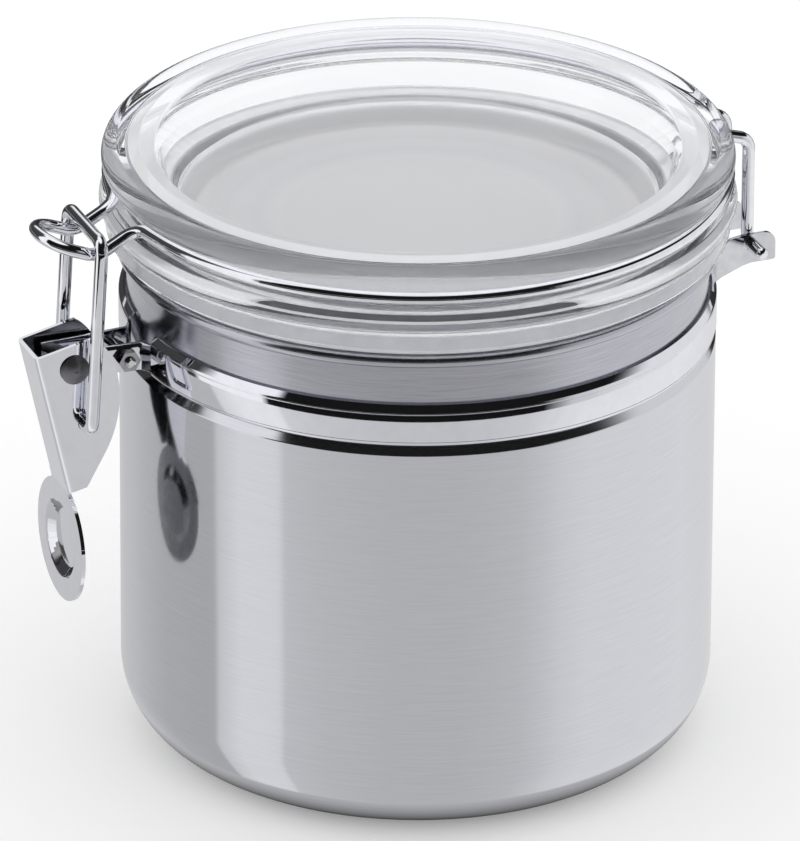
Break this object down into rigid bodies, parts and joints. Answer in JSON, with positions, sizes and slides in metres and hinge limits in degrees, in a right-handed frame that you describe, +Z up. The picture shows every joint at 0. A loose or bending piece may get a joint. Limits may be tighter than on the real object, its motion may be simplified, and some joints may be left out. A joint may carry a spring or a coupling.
{
  "type": "vacuum seal canister",
  "caption": "Straight-sided steel storage canister with a clear deep-welled lid held in a wire bail, a silicone gasket and an over-centre lever latch",
  "frame": {"origin": "centre of the flat base, on the surface the canister stands on", "axes": "+Z up along the shell's axis, +X from the latch towards the hinge of the wire bail, +Y across"},
  "size_m": [0.1583, 0.1278, 0.1282],
  "materials": {
    "brushed_shell": "brushed, half mirror",
    "polished_band": "polished",
    "polished_bracket": "polished",
    "screw": "polished",
    "nut": "polished",
    "rivet": "dull",
    "bail_chrome": "polished wire",
    "clear_lid": "clear moulded acrylic",
    "silicone": "translucent white silicone",
    "lever_chrome": "polished",
    "link_chrome": "polished wire"
  },
  "bodies": {
    "canister": {"canister_body": "brushed_shell", "clamp_band": "polished_band", "hinge_bracket": "polished_bracket", "clamp_screw": "screw", "clamp_nut": "nut", "lever_rivet": "rivet"},
    "bail": {"bail_wire": "bail_chrome"},
    "lid": {"lid": "clear_lid", "gasket": "silicone"},
    "lever": {"latch_lever": "lever_chrome"},
    "link": {"latch_link": "link_chrome"}
  },
  "joints": [
    {"name": "bail_hinge", "type": "hinge", "parent": "canister", "child": "bail", "pos_m": [0.0694, 0, 0.0972], "axis": [0, 1, 0], "range_deg": [0, 200]},
    {"name": "lid_spin", "type": "hinge", "parent": "bail", "child": "lid", "pos_m": [0, 0, 0.1218], "axis": [0, 0, 1], "continuous": true},
    {"name": "lever_hinge", "type": "hinge", "parent": "canister", "child": "lever", "pos_m": [-0.0755, 0, 0.0926], "axis": [0, 1, 0], "range_deg": [0, 125]},
    {"name": "link_hinge", "type": "hinge", "parent": "lever", "child": "link", "pos_m": [-0.0734, 0, 0.0804], "axis": [0, 1, 0], "range_deg": [-95, 0]}
  ],
  "couplings": [
    {"joint": "link_hinge", "follows": "lever_hinge", "ratio": -0.76}
  ]
}
